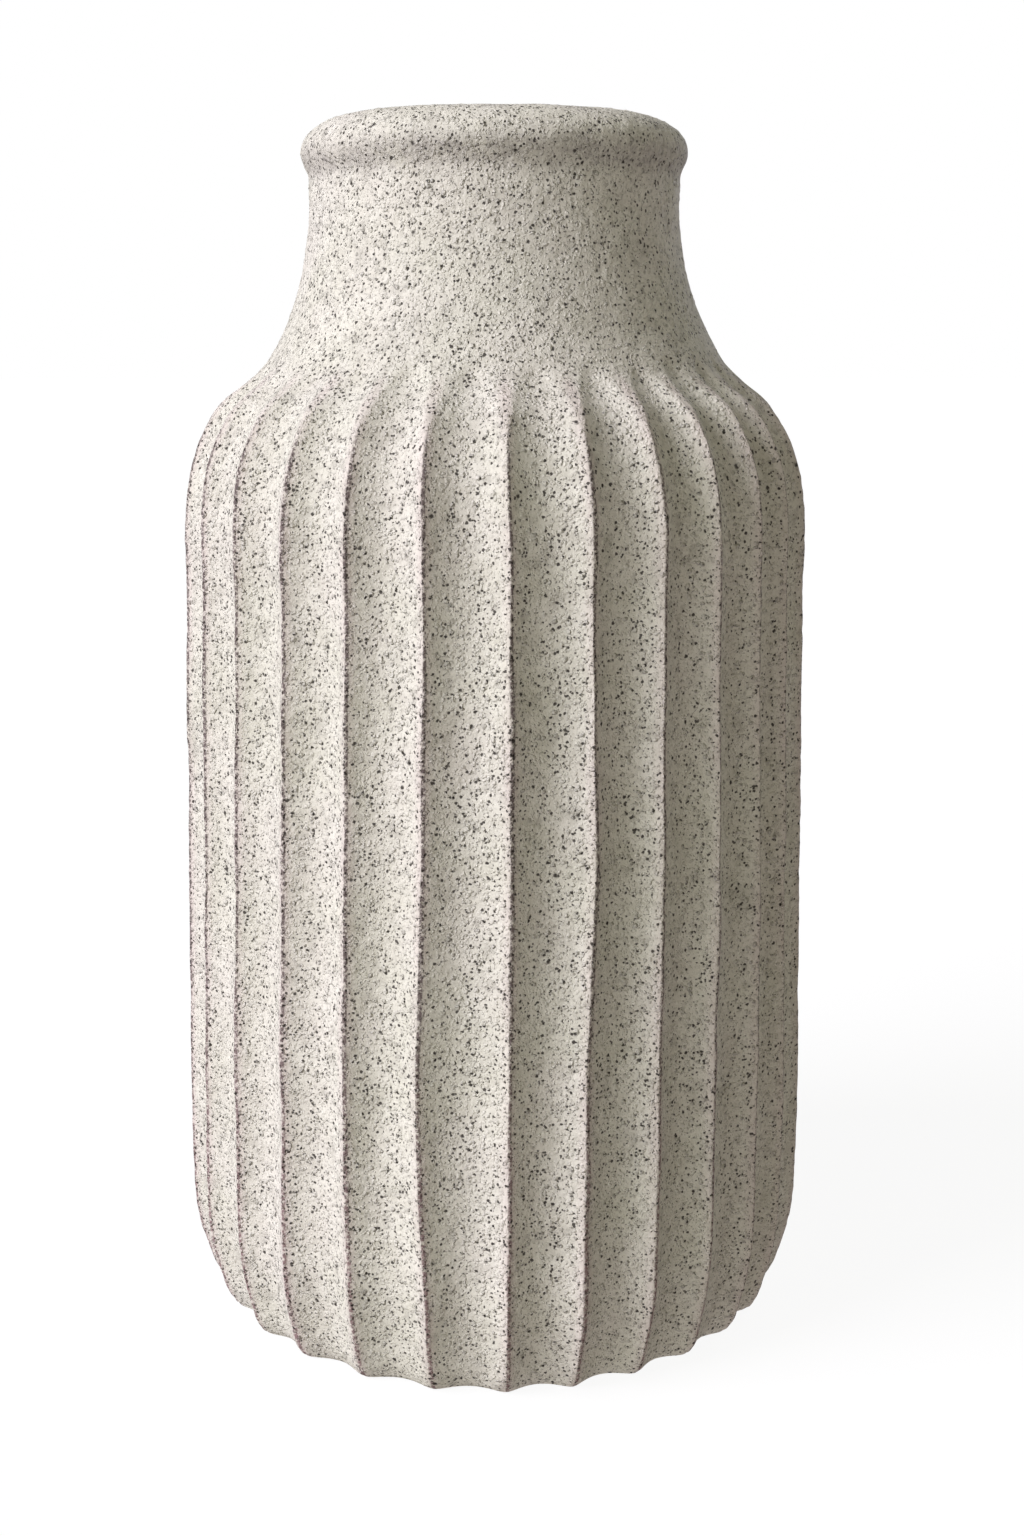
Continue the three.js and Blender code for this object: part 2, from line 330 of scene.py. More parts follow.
def skin_row(r, z):
    """One ring of the outer skin, before any grain, and how far each point is to the right of a ridge.

    r is the radius of the ridges."""
    fluted = 1.0 if z < PLAIN_ABOVE else 0.0
    wander = ridge_wander(z)
    shift = wander[flute] * (1 - share) + wander[(flute + 1) % FLUTES] * share
    angle = column_angle + shift * fluted
    depth = FLUTE_DEPTH * (1 + waves(z, DEPTH_WAVES, depth_phase[:, flute]))
    depth *= 1 - FOOT_SHALLOWING * fade_out(z, 0.0, FOOT_SHALLOW_BELOW)
    radius = r - lifted_out(cut_across(depth, z), depth, z) * fluted
    from_ridge = np.where(share < 0.5, share, share - 1) * flute_angle * r
    return np.stack([radius * np.sin(angle), -radius * np.cos(angle), np.full(COLUMNS, z)], 1), from_ridge


def rim_rows():
    """(radius, height) from the last joint up the neck, over the rolled rim and into the mouth."""
    bottom, crown = JOINTS[-1], HEIGHT - RIM_WIDEST_AT
    neck = crest_radius(bottom)
    found = [(neck, bottom + (THROAT_END - bottom) * t) for t in np.linspace(0, 1, NECK_ROWS)[:-1]]
    for t in np.linspace(0, 1, SWELL_ROWS)[:-1]:
        swollen = neck + (RIM_RADIUS - neck) * smoothstep(t, 0, 1)
        found.append((swollen, THROAT_END + (RIM_WIDEST_AT - THROAT_END) * t))
    for t in np.linspace(0, math.pi / 2, CROWN_ROWS)[:-1]:
        outwards = (RIM_RADIUS - RIM_CROWN_RADIUS) * math.cos(t)
        found.append((RIM_CROWN_RADIUS + outwards, RIM_WIDEST_AT + crown * math.sin(t)))
    for t in np.linspace(0, math.pi / 2, MOUTH_ROWS):
        inwards = (RIM_CROWN_RADIUS - MOUTH_RADIUS) * math.sin(t)
        found.append((RIM_CROWN_RADIUS - inwards, RIM_WIDEST_AT + crown * math.cos(t)))
    return found


# Rows of the outer skin, from the base edge up: radius of the ridges and height. joint_rows says which of
# them lie on the joints.
rows, joint_rows = [], []
for t in np.linspace(0, math.pi / 2, EDGE_ROWS)[:-1]:
    tucked_in = EDGE_ROUND * EDGE_TUCK * (1 - math.sin(t))
    rows.append((CREST_PROFILE[0][0] - tucked_in, EDGE_ROUND * (1 - math.cos(t))))
levels = [EDGE_ROUND] + JOINTS
for low, high in zip(levels, levels[1:]):
    rows += [(crest_radius(z), z) for z in even_heights(low, high, OUTER, ROW_STEP)[:-1]]
    joint_rows.append(len(rows))
rows += rim_rows()
ROWS = len(rows)

drawn = [skin_row(r, z) for r, z in rows]
grid = np.array([ring for ring, _ in drawn])
near = np.array([from_ridge for _, from_ridge in drawn])


def grid_normals(g):
    """Unit normals of a skin grid (rows, columns, 3) that runs round the axis."""
    across = np.roll(g, -1, 1) - np.roll(g, 1, 1)
    n = np.cross(across, np.gradient(g, axis=0))
    return n / np.maximum(np.linalg.norm(n, axis=2), 1e-12)[:, :, None]


# Grain of the clay: hand-made unevenness, a pitted surface and coarse grog standing proud.
flat = grid.reshape(-1, 3)
heights = flat[:, 2]
texture = noise_layers(flat, PITS) + grain_layers(flat, GROG) - grain_layers(flat, HOLES)
crumble = np.exp(-(near.reshape(-1) / CRUMBLE_WIDTH) ** 2)
crumble *= fade_out(heights, FLUTES_FULL_BELOW, FLUTES_END)
relief = noise_layers(flat, LUMPS) + texture * (1 - CRUMBLE_LOSS * crumble)
relief += crumble * noise_layers(flat, CRUMBS)
relief *= smoothstep(heights, 0.0, TRIMMED_BELOW)
grid = grid + grid_normals(grid) * relief.reshape(ROWS, COLUMNS, 1)
normals = grid_normals(grid)

# What the material reads at each point: where the ridge is worn and has painted shade beside it, and how high
# the grain stands, whose low places get painted shade.
line = np.exp(-((near - CREST_LINE_OFFSET) / CREST_LINE_WIDTH) ** 2)
blush = np.clip(1 - np.abs(near) / BLUSH_WIDTH, 0, 1)
crest = LINE_STRENGTH * line * fade_out(grid[:, :, 2], *LINE_FADES)
crest += BLUSH_STRENGTH * blush * fade_out(grid[:, :, 2], *BLUSH_FADES)
cavity = texture.reshape(ROWS, COLUMNS)

# ---------------------------------------------------------------- closed pieces from rings


def circle(r, z):
    """A plain ring with one point on every column."""
    return RADIAL * r + UP * z


class Solid:
    """Rings joined in turn: each band between two rings has its own normals, so that corners stay crisp."""

    def __init__(self):
        self.rings, self.crests, self.cavities, self.covers, self.bands = [], [], [], [], []

    def ring(self, points, cover, crest=None, cavity=None):
        """Adds a ring of points and returns its number."""
        self.rings.append(points)
        self.crests.append(np.zeros(COLUMNS) if crest is None else crest)
        self.cavities.append(np.zeros(COLUMNS) if cavity is None else cavity)
        self.covers.append(np.full(COLUMNS, cover))
        return len(self.rings) - 1

    def band(self, a, b, normals_a, normals_b=None):
        """Joins ring a to ring b, which is the upper one as the band is seen from outside the clay."""
        self.bands.append((a, b, normals_a, normals_a if normals_b is None else normals_b))

    def strip(self, ids, ring_normals):
        """Joins each of the rings to the next."""
        for a, b, normals_a, normals_b in zip(ids, ids[1:], ring_normals, ring_normals[1:]):
            self.band(a, b, normals_a, normals_b)

    def build(self, name, caps=()):
        """Makes the object; caps are (ring, +1 or -1): flat faces that fill a ring, looking up or down."""
        verts = np.concatenate(self.rings) * (SCALE_R * MM, SCALE_R * MM, SCALE_Z * MM)
        j = np.arange(COLUMNS)
        k = (j + 1) % COLUMNS
        faces, loop_normals = [], []
        for a, b, na, nb in self.bands:
            faces.append(np.stack([a * COLUMNS + j, a * COLUMNS + k, b * COLUMNS + k, b * COLUMNS + j], 1))
            loop_normals.append(np.stack([na, np.roll(na, -1, 0), np.roll(nb, -1, 0), nb], 1))
        quads = np.concatenate(faces)
        loops = quads.reshape(-1)
        loop_n = np.concatenate(loop_normals).reshape(-1, 3)
        starts = np.arange(len(quads)) * 4
        totals = np.full(len(quads), 4)
        for ring, side in caps:
            order = ring * COLUMNS + (j if side > 0 else j[::-1])
            starts = np.append(starts, len(loops))
            totals = np.append(totals, COLUMNS)
            loops = np.concatenate([loops, order])
            loop_n = np.concatenate([loop_n, UP * side])
        mesh = bpy.data.meshes.new(name)
        mesh.vertices.add(len(verts))
        mesh.vertices.foreach_set("co", verts.astype(np.float32).reshape(-1))
        mesh.loops.add(len(loops))
        mesh.loops.foreach_set("vertex_index", loops.astype(np.int32))
        mesh.polygons.add(len(starts))
        mesh.polygons.foreach_set("loop_start", starts.astype(np.int32))
        mesh.polygons.foreach_set("loop_total", totals.astype(np.int32))
        mesh.update(calc_edges=True)
        mesh.validate()
        mesh.polygons.foreach_set("use_smooth", np.ones(len(starts), bool))
        loop_n = loop_n / np.maximum(np.linalg.norm(loop_n, axis=1), 1e-9)[:, None]
        mesh.normals_split_custom_set([tuple(v) for v in loop_n])
        for label, values in (("crest", self.crests), ("cavity", self.cavities), ("cover", self.covers)):
            layer = mesh.attributes.new(label, "FLOAT", "POINT")
            layer.data.foreach_set("value", np.concatenate(values).astype(np.float32))
        obj = bpy.data.objects.new(name, mesh)
        bpy.context.scene.collection.objects.link(obj)
        return obj


def outer_strip(solid, first, last):
    """Adds rows first to last of the outer skin and returns their ring numbers."""
    ids = [solid.ring(grid[i], SLIPPED, crest[i], cavity[i]) for i in range(first, last + 1)]
    solid.strip(ids, normals[first:last + 1])
    return ids


def inner_strip(solid, heights_down, top_ring):
    """Adds the inside of the wall, down from the ring at its top, with the slow ridges left by throwing."""
    circles = []
    for z in heights_down:
        fade = min(1.0, abs(z - heights_down[0]) / THROWING_FADE, abs(z - heights_down[-1]) / THROWING_FADE)
        circles.append(circle(inside_radius(z) + waves(z, THROWING) * fade, z))
    ids = [top_ring] + [solid.ring(points, LINED) for points in circles[1:]]
    solid.strip(ids, grid_normals(np.array(circles)))
    return ids


def ledge_and_tongue(solid, outer_ring, joint):
    """Top of a section: the ledge, then the tongue that stands up inside the next section."""
    side, top = inside_radius(joint) + TONGUE_WIDTH, joint + TONGUE_HEIGHT
    foot = solid.ring(circle(side, joint), LINED)
    head = solid.ring(circle(side - TONGUE_TAPER, top), LINED)
    inner = solid.ring(circle(inside_radius(top), top), LINED)
    solid.band(outer_ring, foot, UP)
    solid.band(foot, head, RADIAL)
    solid.band(head, inner, UP)
    return inner, top


def rebate(solid, inner_ring, outer_ring, joint):
    """Underside of a section: the rebate that fits over the tongue below."""
    side, top = inside_radius(joint) + TONGUE_WIDTH + GAP, joint + TONGUE_HEIGHT + GAP
    head = solid.ring(circle(side, top), LINED)
    foot = solid.ring(circle(side, joint), LINED)
    solid.band(inner_ring, head, -UP)
    solid.band(head, foot, -RADIAL)
    solid.band(foot, outer_ring, -UP)


def wall_section(name, number):
    """A ring of wall between joint number - 1 and joint number."""
    solid = Solid()
    bottom, top = JOINTS[number - 1], JOINTS[number]
    outside = outer_strip(solid, joint_rows[number - 1], joint_rows[number])
    inner, high = ledge_and_tongue(solid, outside[-1], top)
    low = bottom + TONGUE_HEIGHT + GAP
    inside = inner_strip(solid, even_heights(low, high, INNER, INNER_ROW_STEP)[::-1], inner)
    rebate(solid, inside[-1], outside[0], bottom)
    return solid.build(name)


def base_section(name):
    """The floor: fluted edge, raised disc on top, and a foot ring round a shallow recess underneath."""
    solid = Solid()
    joint = JOINTS[0]
    disc, disc_top = inside_radius(joint + DISC_EDGE_ABOVE_JOINT) - GAP, joint + TONGUE_HEIGHT
    outside = outer_strip(solid, 0, joint_rows[0])
    foot = solid.ring(circle(disc, joint), LINED)
    centre = solid.ring(circle(disc, disc_top), LINED)
    solid.band(outside[-1], foot, UP)
    solid.band(foot, centre, RADIAL)
    for r in FLOOR_RINGS:
        further_in = solid.ring(circle(r, disc_top), LINED)
        solid.band(centre, further_in, UP)
        centre = further_in

    under = outside[0]
    for t in FOOT_RING_STEPS:
        further_in = solid.ring(grid[0] * (1 - t) + circle(RECESS_STARTS_AT, 0.0) * t, BARE)
        solid.band(further_in, under, -UP)
        under = further_in
    recess = []
    for t in RECESS_SIDE_STEPS:
        r = RECESS_STARTS_AT - RECESS_SIDE * math.sin(t * math.pi / 2)
        recess.append((r, RECESS_DEPTH * (1 - math.cos(t * math.pi / 2)), (-RADIAL - UP) / math.sqrt(2)))
    recess += [(r, RECESS_DEPTH, -UP) for r in RECESS_RINGS]
    for r, z, looking in recess:
        further_in = solid.ring(circle(r, z), BARE)
        solid.band(further_in, under, looking)
        under = further_in
    return solid.build(name, caps=[(centre, 1), (under, -1)])


def rim_section(name):
    """The rolled rim: over the roll, down the throat and round the rebate at the bottom."""
    solid = Solid()
    joint = JOINTS[-1]
    outside = outer_strip(solid, joint_rows[-1], ROWS - 1)
    low = joint + TONGUE_HEIGHT + GAP
    throat = [outside[-1]]
    for t in np.linspace(0, 1, THROAT_STEPS + 1)[1:]:
        throat.append(solid.ring(grid[-1] * (1 - t) + circle(inside_radius(low), low) * t, LINED))
    solid.strip(throat, [-RADIAL] * len(throat))
    rebate(solid, throat[-1], outside[0], joint)
    return solid.build(name)


pieces = {"base_slab": base_section("base_slab_clay")}
for number, section in enumerate(SECTIONS[1:-1], 1):
    pieces[section] = wall_section(section + "_clay", number)
pieces["rim_roll"] = rim_section("rim_roll_clay")

# ---------------------------------------------------------------- shader nodes


def colour(r, g, b):
    return (r, g, b, 1.0)


class Nodes:
    """Short hands for building a node tree."""

    def __init__(self, owner):
        owner.use_nodes = True
        self.tree = owner.node_tree
        self.tree.nodes.clear()

    def new(self, kind, **settings):
        node = self.tree.nodes.new(kind)
        for key, value in settings.items():
            setattr(node, key, value)
        return node

    def put(self, socket, value):
        if isinstance(value, bpy.types.NodeSocket):
            self.tree.links.new(value, socket)
        else:
            socket.default_value = value

    def math(self, operation, a, b=0.0, clamp=False):
        node = self.new("ShaderNodeMath", operation=operation, use_clamp=clamp)
        self.put(node.inputs[0], a)
        self.put(node.inputs[1], b)
        return node.outputs[0]

    def ramp(self, value, low, high, out_low=0.0, out_high=1.0):
        node = self.new("ShaderNodeMapRange", interpolation_type="SMOOTHSTEP")
        for socket, v in zip(node.inputs, (value, low, high, out_low, out_high)):
            self.put(socket, v)
        return node.outputs[0]

    def noise(self, vector, scale, detail, roughness):
        node = self.new("ShaderNodeTexNoise")
        self.put(node.inputs["Vector"], vector)
        self.put(node.inputs["Scale"], scale)
        self.put(node.inputs["Detail"], detail)
        self.put(node.inputs["Roughness"], roughness)
        return node

    def cells(self, vector, scale):
        """Distance to the middle of the nearest Voronoi cell, and three random numbers of that cell."""
        node = self.new("ShaderNodeTexVoronoi")
        self.put(node.inputs["Vector"], vector)
        self.put(node.inputs["Scale"], scale)
        numbers = self.new("ShaderNodeSeparateColor")
        self.put(numbers.inputs[0], node.outputs["Color"])
        return node.outputs["Distance"], numbers.outputs

    def mix(self, factor, a, b):
        node = self.new("ShaderNodeMix", data_type="RGBA", blend_type="MIX")
        self.put(node.inputs["Factor"], factor)
        self.put(node.inputs[6], a)
        self.put(node.inputs[7], b)
        return node.outputs[2]

    def split(self, vector):
        """The x, y and z of a vector."""
        node = self.new("ShaderNodeSeparateXYZ")
        self.put(node.inputs[0], vector)
        return node.outputs

    def attribute(self, name):
        return self.new("ShaderNodeAttribute", attribute_name=name).outputs["Fac"]


# ---------------------------------------------------------------- stoneware

SLIP_CREAM, SLIP_ROSE = colour(0.665, 0.645, 0.560), colour(0.695, 0.660, 0.598)
# The thin slip's colour is also painted shade in the low places of the grain.
SLIP_PALE, THIN_SLIP_AND_PIT_SHADE = colour(0.775, 0.752, 0.682), colour(0.33, 0.31, 0.27)
SPECK = colour(0.030, 0.024, 0.021)
# The line beside the ridges is worn slip with painted shade in it.
CREST_LINE_WEAR_AND_SHADE, FOOT_CREST_LINE_WEAR_AND_SHADE = colour(0.088, 0.056, 0.060), colour(0.22, 0.125, 0.135)
CREST_BLUSH = colour(0.66, 0.54, 0.53)
# The throat's colour is a stain with painted shade of the crease under the rim in it.
THROAT_STAIN_AND_SHADE = colour(0.27, 0.240, 0.230)
CLAY_DARK, CLAY_LIGHT = colour(0.36, 0.29, 0.22), colour(0.45, 0.38, 0.30)
LINER_DARK, LINER_LIGHT = colour(0.50, 0.46, 0.39), colour(0.58, 0.54, 0.47)

# Patterns: (scale to the metre, detail, roughness).
CLOUD, MOTTLE = (22.0, 3.0, 0.6), (120.0, 3.0, 0.6)
SAND, DIMPLES, WEAR = (1150.0, 2.0, 0.6), (520.0, 2.0, 0.6), (900.0, 3.0, 0.7)
# Specks and grains are pushed about by this pattern, so far in metres, so that they aren't perfect discs.
WARP, WARP_REACH = (1100.0, 2.0, 0.5), 0.0010

# Specks: (cells to the metre, radius in cells, share of the cells), and how dark they are.
FINE_SPECKS, FINE_DARKNESS = (720.0, 0.215, 0.88), 0.90
MEDIUM_SPECKS, MEDIUM_DARKNESS = (400.0, 0.138, 0.50), 0.94
COARSE_SPECKS, COARSE_DARKNESS = (170.0, 0.082, 0.14), 0.92
SPECK_EDGE = 0.05
FINE_IN_CLAY, MEDIUM_IN_LINER = 0.6, 0.7

# Sand in the slip: (cells to the metre, radius in cells, height in millimetres, share of the cells).
GRAIN_LAYERS = [
    (1080.0, 0.42, 0.30, 1.0), (830.0, 0.38, 0.48, 1.0), (700.0, 0.40, 1.15, 0.34), (380.0, 0.24, 0.75, 0.8),
]
SAND_HEIGHT, DIMPLE_HEIGHT, SPECK_PIT = 0.14, 0.14, 0.10
RIDGE_GRAIN_GAIN = 1.5

# Heights in metres: the line of wear and painted shade beside the ridges turns from the foot's colour to the
# body's between the first two. The throat's stain and painted shade lie at the next, strong as far as
# STAIN_AND_SHADE_CORE to either side and gone at STAIN_AND_SHADE_REACH.
FOOT_COLOUR_BELOW, BODY_COLOUR_ABOVE = 0.02, 0.14
THROAT_AT, STAIN_AND_SHADE_CORE, STAIN_AND_SHADE_REACH = 0.3662, 0.001, 0.0078
LINE_WEAR_AND_SHADE_STRENGTH, BLUSH_OPACITY = 0.84, 0.40

SPECULAR_LEVEL = 0.22


def specks(n, place, scale, radius, filled):
    """Round spots in that share of the cells of a Voronoi pattern; the radius is in cells."""
    distance, numbers = n.cells(place, scale)
    size = n.ramp(numbers[1], 0.0, 1.0, radius * 0.5, radius * 1.5)
    spot = n.ramp(n.math("SUBTRACT", size, distance), -SPECK_EDGE, SPECK_EDGE)
    return n.math("MULTIPLY", spot, n.math("LESS_THAN", numbers[0], filled))


def standing_grains(n, place, scale, radius, height, filled):
    """Height in millimetres of round grains of sand half sunk in the slip, in that share of the cells."""
    distance, numbers = n.cells(place, scale)
    size = n.ramp(numbers[1], 0.0, 1.0, radius * 0.6, radius * 1.4)
    reach = n.math("DIVIDE", distance, size)
    dome = n.math("SUBTRACT", 1.0, n.math("MULTIPLY", reach, reach), clamp=True)
    dome = n.math("MULTIPLY", dome, n.math("LESS_THAN", numbers[0], filled))
    return n.math("MULTIPLY", dome, n.ramp(numbers[2], 0.1, 0.9, height * 0.15, height))


class Patterns:
    """The patterns that the parts of the stoneware share, laid out on the vase itself in metres."""

    def __init__(self, n):
        self.place = n.new("ShaderNodeTexCoord").outputs["Object"]
        self.height = n.split(self.place)[2]
        self.crest, self.cavity, self.cover = (n.attribute(name) for name in ("crest", "cavity", "cover"))
        self.cloud, self.mottle, self.sand, self.dimples = (
            n.noise(self.place, *pattern).outputs["Fac"] for pattern in (CLOUD, MOTTLE, SAND, DIMPLES)
        )
        push = n.new("ShaderNodeVectorMath", operation="SCALE")
        n.put(push.inputs[0], n.noise(self.place, *WARP).outputs["Color"])
        n.put(push.inputs["Scale"], WARP_REACH)
        warped = n.new("ShaderNodeVectorMath", operation="ADD")
        n.put(warped.inputs[0], self.place)
        n.put(warped.inputs[1], push.outputs[0])
        self.warped = warped.outputs[0]
        self.fine = specks(n, self.warped, *FINE_SPECKS)
        self.medium = specks(n, self.warped, *MEDIUM_SPECKS)
        coarse = specks(n, self.warped, *COARSE_SPECKS)
        self.dark = n.math("MULTIPLY", self.fine, FINE_DARKNESS)
        for spots, darkness in ((self.medium, MEDIUM_DARKNESS), (coarse, COARSE_DARKNESS)):
            self.dark = n.math("MAXIMUM", self.dark, n.math("MULTIPLY", spots, darkness))


def slip_ground(n, p):
    """Cloudy cream slip, darker where the sand, the dimples and the grain are low: thinner slip shows more
    grey clay there, and the darkening is also painted shade in those low places.
    """
    slip = n.mix(n.ramp(p.cloud, 0.35, 0.65), SLIP_CREAM, SLIP_ROSE)
    slip = n.mix(n.ramp(p.mottle, 0.35, 0.7, 0.0, 0.5), slip, SLIP_PALE)
    # Painted shade: the colour turns to thin slip in the low places of the sand, the dimples and the grain.
    slip = n.mix(n.ramp(p.sand, 0.28, 0.46, 0.22, 0.0), slip, THIN_SLIP_AND_PIT_SHADE)
    slip = n.mix(n.ramp(p.dimples, 0.30, 0.46, 0.20, 0.0), slip, THIN_SLIP_AND_PIT_SHADE)
    return n.mix(n.ramp(p.cavity, -0.17, 0.0, 0.40, 0.0), slip, THIN_SLIP_AND_PIT_SHADE)


def ridge_line_wear_and_shade(n, p, slip):
    """The ridges show a thin mauve-brown line, worn slip with painted shade of the ridge in it, in a faint
    blush.
    """
    faded = n.ramp(p.cloud, 0.3, 0.7, 0.5, 1.0)
    blush = n.math("MULTIPLY", n.ramp(p.crest, 0.0, 0.2, 0.0, BLUSH_OPACITY), faded)
    slip = n.mix(blush, slip, CREST_BLUSH)
    # Painted shade: the dark line just to the right of each ridge stands for the ridge's shade as well as for
    # wear.
    broken = n.ramp(n.noise(p.place, *WEAR).outputs["Fac"], 0.38, 0.56)
    worn_and_shaded = n.math("MULTIPLY", n.ramp(p.crest, 0.32, 0.72), broken)
    worn_and_shaded = n.math("MULTIPLY", worn_and_shaded, LINE_WEAR_AND_SHADE_STRENGTH)
    low_down = n.ramp(p.height, FOOT_COLOUR_BELOW, BODY_COLOUR_ABOVE, 1.0, 0.0)
    return n.mix(worn_and_shaded, slip, n.mix(low_down, CREST_LINE_WEAR_AND_SHADE, FOOT_CREST_LINE_WEAR_AND_SHADE))


def throat_stain_and_painted_shade(n, p, slip):
    """The slip is thin and stained in the throat under the rim, in blotches, and darkened there as painted
    shade of the crease under the rim.
    """
    # Painted shade: a blotchy dark band in the crease under the rim, together with a stain.
    away = n.math("ABSOLUTE", n.math("SUBTRACT", p.height, THROAT_AT))
    blotches = n.ramp(p.mottle, 0.30, 0.62, 0.12, 0.44)
    stain_shade = n.math("MULTIPLY", n.ramp(away, STAIN_AND_SHADE_CORE, STAIN_AND_SHADE_REACH, 1.0, 0.0), blotches)
    stain_shade = n.math("MULTIPLY", stain_shade, n.ramp(p.dimples, 0.36, 0.60, 1.35, 0.75))
    return n.mix(stain_shade, slip, THROAT_STAIN_AND_SHADE)


def surface_colour(n, p):
    """Slip outside, a plain liner inside and bare clay underneath, each with its specks."""
    slip = throat_stain_and_painted_shade(n, p, ridge_line_wear_and_shade(n, p, slip_ground(n, p)))
    slip = n.mix(p.dark, slip, SPECK)
    clay = n.mix(n.ramp(p.mottle, 0.3, 0.7), CLAY_DARK, CLAY_LIGHT)
    clay = n.mix(n.math("MULTIPLY", p.fine, FINE_IN_CLAY), clay, SPECK)
    liner = n.mix(n.ramp(p.cloud, 0.35, 0.65), LINER_DARK, LINER_LIGHT)
    liner = n.mix(n.math("MULTIPLY", p.medium, MEDIUM_IN_LINER), liner, SPECK)
    slip_or_liner = n.mix(n.ramp(p.cover, SLIPPED + 0.2, LINED - 0.1), slip, liner)
    return n.mix(n.ramp(p.cover, LINED + 0.2, BARE - 0.1), slip_or_liner, clay)


def fine_relief(n, p):
    """Relief finer than the mesh, in millimetres: sandy grains, and a small pit at each speck."""
    grit = 0.0
    for layer in GRAIN_LAYERS:
        grit = n.math("ADD", grit, standing_grains(n, p.warped, *layer))
    grit = n.math("MULTIPLY", grit, n.ramp(p.crest, 0.2, 0.5, 1.0, RIDGE_GRAIN_GAIN))
    up = n.math("ADD", n.math("MULTIPLY", p.sand, SAND_HEIGHT), n.math("MULTIPLY", p.dimples, DIMPLE_HEIGHT))
    up = n.math("ADD", up, grit)
    return n.math("SUBTRACT", up, n.math("MULTIPLY", p.dark, SPECK_PIT))


def stoneware(name):
    material = bpy.data.materials.new(name)
    n = Nodes(material)
    p = Patterns(n)
    bump = n.new("ShaderNodeBump")
    bump.inputs["Strength"].default_value = 1.0
    bump.inputs["Distance"].default_value = MM
    n.put(bump.inputs["Height"], fine_relief(n, p))
    shader = n.new("ShaderNodeBsdfPrincipled")
    shader.inputs["Specular IOR Level"].default_value = SPECULAR_LEVEL
    n.put(shader.inputs["Base Color"], surface_colour(n, p))
    n.put(shader.inputs["Roughness"], n.ramp(p.sand, 0.3, 0.7, 0.82, 0.97))
    n.put(shader.inputs["Normal"], bump.outputs[0])
    n.put(n.new("ShaderNodeOutputMaterial").inputs["Surface"], shader.outputs[0])
    return material


# Both are the same fired clay, and the slab has a slot of its own because its underside is bare.
slots = {name: stoneware(name) for name in ("slipped_stoneware", "bare_stoneware")}
for section, piece in pieces.items():
    slot_name = "bare_stoneware" if section == "base_slab" else "slipped_stoneware"
    piece.data.materials.append(slots[slot_name])
    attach(piece, "root")
    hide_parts(section)

# ---------------------------------------------------------------- floor

FLOOR_REACH = 12.0
FLOOR_GREY, FLOOR_GLOW = 0.12, 0.905

corners = [(-1, -1), (1, -1), (1, 1), (-1, 1)]
floor_mesh = bpy.data.meshes.new("floor")
floor_mesh.from_pydata([(x * FLOOR_REACH, y * FLOOR_REACH, 0) for x, y in corners], [], [(0, 1, 2, 3)])
floor = bpy.data.objects.new("floor", floor_mesh)
bpy.context.scene.collection.objects.link(floor)
floor_material = bpy.data.materials.new("pale_floor")
floor_nodes = Nodes(floor_material)
floor_shader = floor_nodes.new("ShaderNodeBsdfPrincipled")
floor_shader.inputs["Base Color"].default_value = colour(FLOOR_GREY, FLOOR_GREY, FLOOR_GREY)
floor_shader.inputs["Emission Color"].default_value = colour(1.0, 1.0, 1.0)
floor_shader.inputs["Emission Strength"].default_value = FLOOR_GLOW
floor_shader.inputs["Roughness"].default_value = 0.9
floor_shader.inputs["Specular IOR Level"].default_value = 0.0
floor_nodes.put(floor_nodes.new("ShaderNodeOutputMaterial").inputs["Surface"], floor_shader.outputs[0])
floor_mesh.materials.append(floor_material)
floor.location.z = cad_low.z
floor.visible_diffuse = False
floor.visible_glossy = False

# ---------------------------------------------------------------- light

# Lamps: azimuth (0 in front, 90 on the right), elevation, strength, width in degrees, and tint.
LAMPS = {
    "key_softbox": (-68, 33, 3.50, 33, (0.938, 0.914, 1.0)),
    "front_left_fill": (-40, 5, 1.31, 40, (0.957, 0.98, 0.93)),
    "front_right_fill": (24, 18, 0.27, 40, (0.98, 0.90, 0.62)),
    "back_right_rim": (150, 10, 0.90, 40, (0.74, 0.76, 1.0)),
    "high_right_rim": (120, 40, 0.50, 40, (0.98, 1.0, 0.93)),
}
CEILING = colour(0.088, 0.082, 0.060)
BOUNCE_LEVEL, BOUNCE_BELOW = colour(0.172, 0.160, 0.158), colour(0.61, 0.555, 0.55)


def sun(name, azimuth, elevation, strength, spread, tint):
    """Parallel soft light that comes from the azimuth and elevation given."""
    data = bpy.data.lights.new(name, "SUN")
    data.energy, data.angle, data.color = strength, math.radians(spread), tint
    obj = bpy.data.objects.new(name, data)
    a, e = math.radians(azimuth), math.radians(elevation)
    towards = Vector((math.sin(a) * math.cos(e), -math.cos(a) * math.cos(e), math.sin(e)))
    obj.rotation_mode = "QUATERNION"
    obj.rotation_quaternion = towards.to_track_quat("Z", "Y")
    bpy.context.scene.collection.objects.link(obj)


for name, lamp in LAMPS.items():
    sun(name, *lamp)

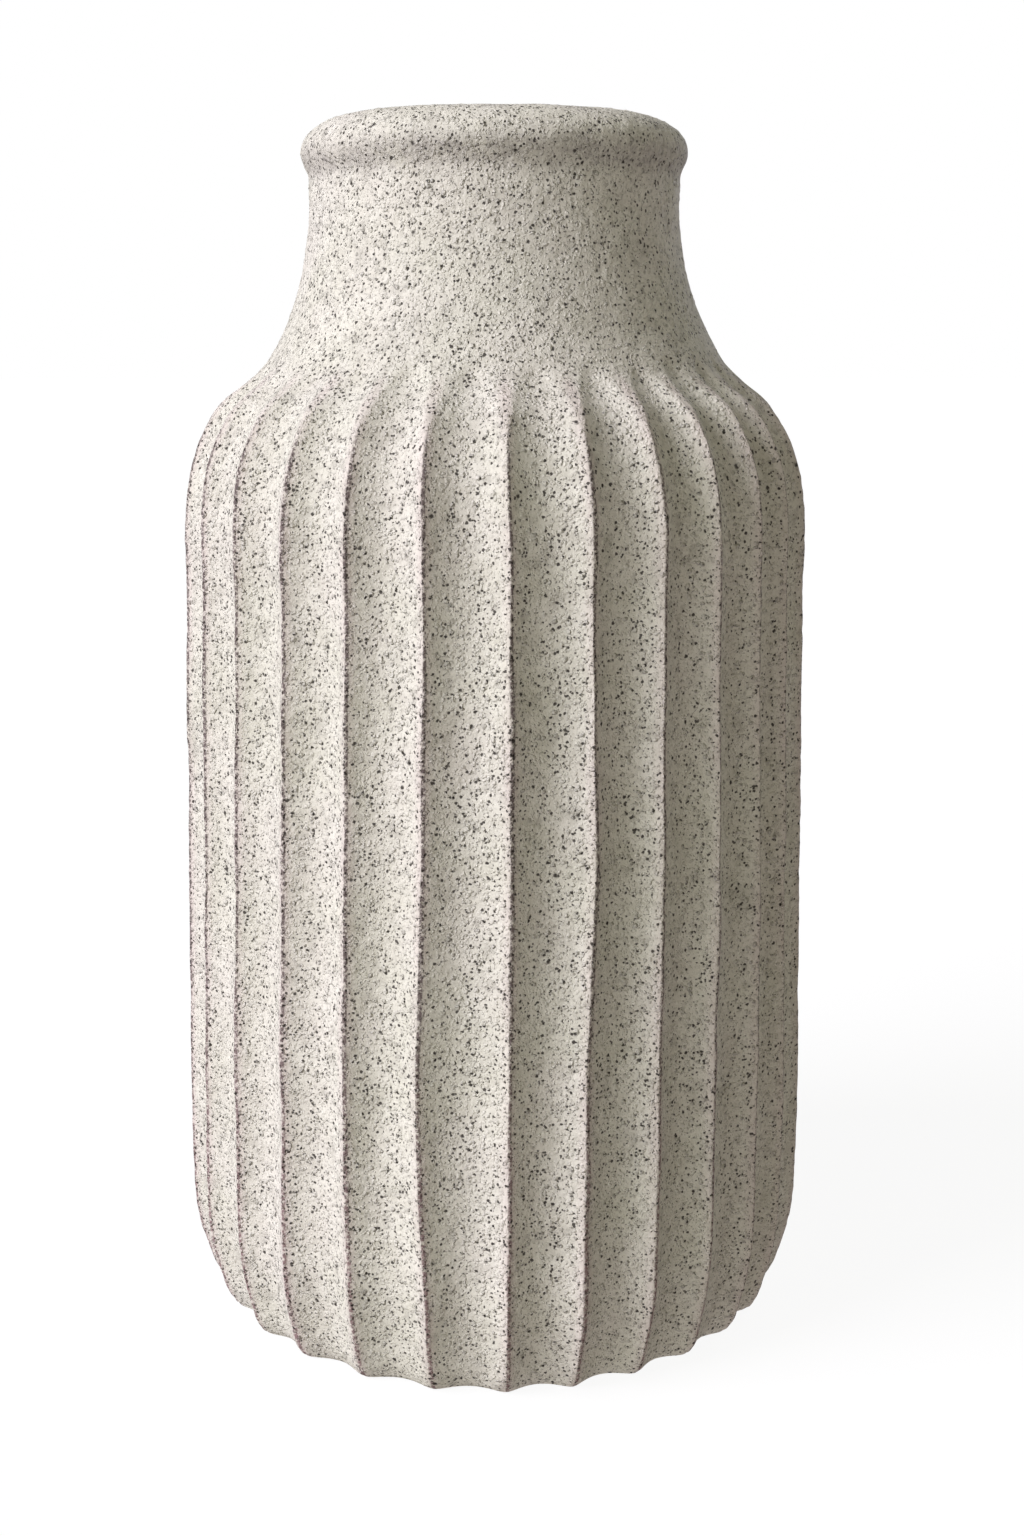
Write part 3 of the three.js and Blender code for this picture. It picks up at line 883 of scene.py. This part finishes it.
# The world is a faint ceiling above and the light that a white floor throws back below; the camera sees
# plain white.
world = bpy.data.worlds.new("studio")
bpy.context.scene.world = world
wn = Nodes(world)
look_up = wn.split(wn.new("ShaderNodeTexCoord").outputs["Generated"])[2]
bounce = wn.mix(wn.ramp(look_up, -0.85, -0.15), BOUNCE_BELOW, BOUNCE_LEVEL)
fill = wn.new("ShaderNodeBackground")
wn.put(fill.inputs["Color"], wn.mix(wn.ramp(look_up, -0.1, 0.1), bounce, CEILING))
seen = wn.new("ShaderNodeBackground")
seen.inputs["Color"].default_value = colour(1.0, 1.0, 1.0)
either = wn.new("ShaderNodeMixShader")
wn.put(either.inputs[0], wn.new("ShaderNodeLightPath").outputs["Is Camera Ray"])
wn.put(either.inputs[1], fill.outputs[0])
wn.put(either.inputs[2], seen.outputs[0])
wn.put(wn.new("ShaderNodeOutputWorld").inputs["Surface"], either.outputs[0])

bpy.context.scene.view_settings.view_transform = "Standard"
bpy.context.scene.view_settings.look = "None"

# ---------------------------------------------------------------- camera

# The camera stands a little below the rim and looks down on the foot. Its distance and height are in radii
# of the body, and the radius is in heights of the vase.
BODY_RADIUS_IN_HEIGHTS = 101.0 / 380.0
CAMERA_DISTANCE, CAMERA_HEIGHT = 6.0, 3.128
PITCH_DEG = 11.23
SENSOR_MM, LENS_MM = 36.0, 43.582
SHIFT_X, SHIFT_Y = 0.01146, -0.04427

body_radius = (cad_high.z - cad_low.z) * BODY_RADIUS_IN_HEIGHTS
camera_data = bpy.data.cameras.new("camera")
camera_data.sensor_width, camera_data.lens = SENSOR_MM, LENS_MM
camera_data.shift_x, camera_data.shift_y = SHIFT_X, SHIFT_Y
camera = bpy.data.objects.new("camera", camera_data)
axis_x, axis_y = (cad_low.x + cad_high.x) / 2, (cad_low.y + cad_high.y) / 2
camera.location = (axis_x, axis_y - CAMERA_DISTANCE * body_radius, cad_low.z + CAMERA_HEIGHT * body_radius)
camera.rotation_euler = (math.radians(90 - PITCH_DEG), 0, 0)
bpy.context.scene.collection.objects.link(camera)
bpy.context.scene.camera = camera
